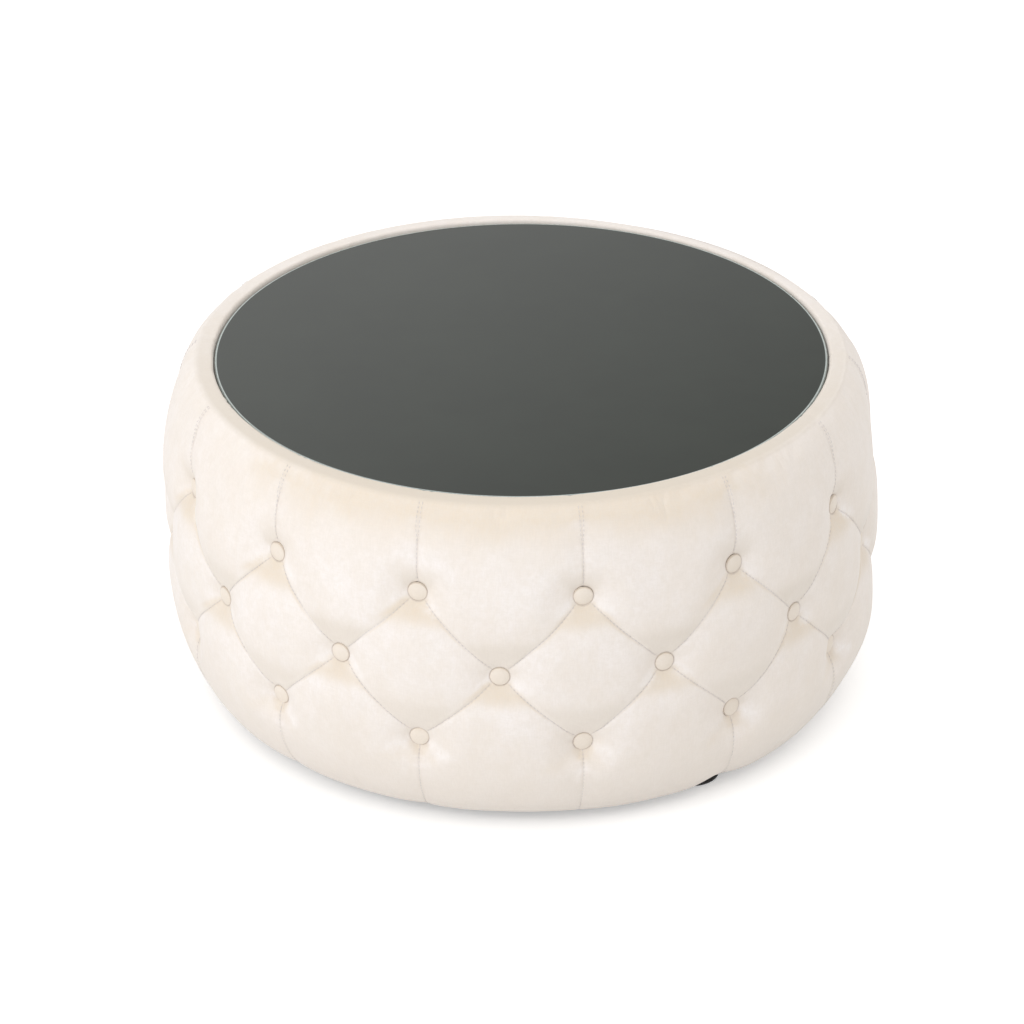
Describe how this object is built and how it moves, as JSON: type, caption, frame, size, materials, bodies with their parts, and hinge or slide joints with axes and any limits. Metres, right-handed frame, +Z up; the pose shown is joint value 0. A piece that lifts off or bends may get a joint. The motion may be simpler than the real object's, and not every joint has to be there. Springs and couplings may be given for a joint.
{
  "type": "ottoman coffee table",
  "caption": "Round drum-shaped ottoman coffee table with diamond-tufted, button-pulled velvet sides and an inset tinted glass top on low feet.",
  "frame": {"origin": "on the floor at the centre of the drum, level with the undersides of the feet", "axes": "+Z up along the drum's axis; the picture looks along +Y from the front"},
  "size_m": [0.761, 0.7592, 0.3683],
  "materials": {
    "velvet": "ivory velvet with a soft sheen",
    "tinted_glass": "dark grey tinted tempered glass, polished, with ground edges",
    "clear_pad": "clear soft bumper",
    "plywood": "raw plywood",
    "softwood": "raw pine",
    "card": "stiff grey-brown upholstery card",
    "foam": "cut upholstery foam",
    "twine": "waxed tufting twine",
    "black_plastic": "glossy black moulded plastic",
    "black_cloth": "black non-woven cloth",
    "screw_steel": "zinc-plated steel"
  },
  "bodies": {
    "drum": {"top_board": "plywood", "rim_ring": "plywood", "post_1": "softwood", "post_2": "softwood", "post_3": "softwood", "post_4": "softwood", "post_5": "softwood", "post_6": "softwood", "post_7": "softwood", "base_ring": "plywood", "side_skin": "card", "skin_splice": "softwood", "side_foam": "foam", "velvet_cover": "velvet", "buttons_upper": "velvet", "buttons_middle": "velvet", "buttons_lower": "velvet", "ties_upper": "twine", "ties_middle": "twine", "ties_lower": "twine", "tie_pegs_upper": "softwood", "tie_pegs_middle": "softwood", "tie_pegs_lower": "softwood", "feet": "black_plastic", "dust_cover": "black_cloth", "foot_screws": "screw_steel", "base_screws": "screw_steel", "board_screws": "screw_steel", "glass_pads": "clear_pad"},
    "glass": {"glass_top": "tinted_glass"}
  },
  "joints": [
    {"name": "glass_lift", "type": "slide", "parent": "drum", "child": "glass", "axis": [0, 0, 1], "range_m": [0, 0.05]}
  ]
}
